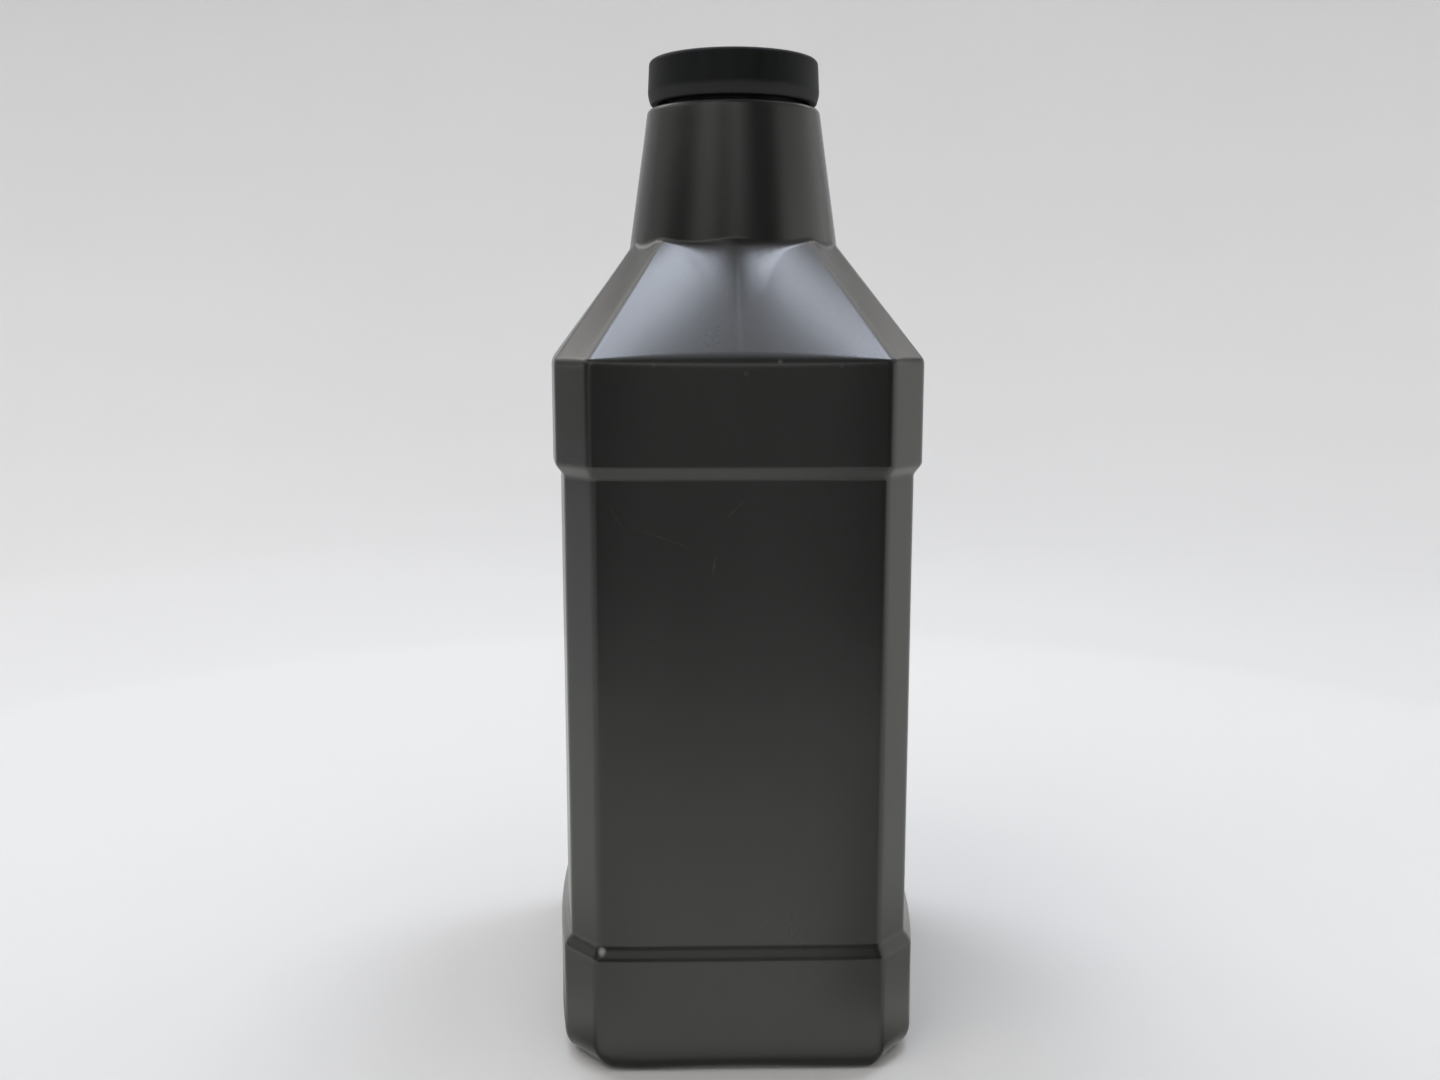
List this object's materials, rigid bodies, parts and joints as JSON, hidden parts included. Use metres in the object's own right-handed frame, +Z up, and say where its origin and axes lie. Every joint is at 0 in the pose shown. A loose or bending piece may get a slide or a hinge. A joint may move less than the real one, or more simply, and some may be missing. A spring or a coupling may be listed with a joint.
{
  "type": "motor oil bottle",
  "caption": "Upright chamfered plastic bottle with recessed label panels, a sloping faceted shoulder, a conical neck and a low smooth screw cap, for holding and pouring oil.",
  "frame": {"origin": "centre of the base, on the surface that the bottle stands on", "axes": "+Z up along the neck, the narrow faces with the mould line look along Y, the bowed label faces look along X"},
  "size_m": [0.0794, 0.096, 0.2068],
  "materials": {
    "bottle_plastic": "satin black polyethylene, lightly grained by the mould",
    "cap_plastic": "satin blue-black polypropylene",
    "liner_foam": "matt white foam"
  },
  "bodies": {
    "bottle": {"bottle_body": "bottle_plastic"},
    "liner": {"cap_liner": "liner_foam"},
    "cap": {"screw_cap": "cap_plastic"}
  },
  "joints": [
    {"name": "cap_lift", "type": "slide", "parent": "bottle", "child": "liner", "axis": [0, 0, 1], "range_m": [0, 0.00423]},
    {"name": "cap_turn", "type": "hinge", "parent": "liner", "child": "cap", "pos_m": [0, 0, 0.2046], "axis": [0, 0, 1], "range_deg": [0, 360]}
  ],
  "couplings": [
    {"joint": "cap_lift", "follows": "cap_turn", "m_per_rad": 0.00067322}
  ]
}
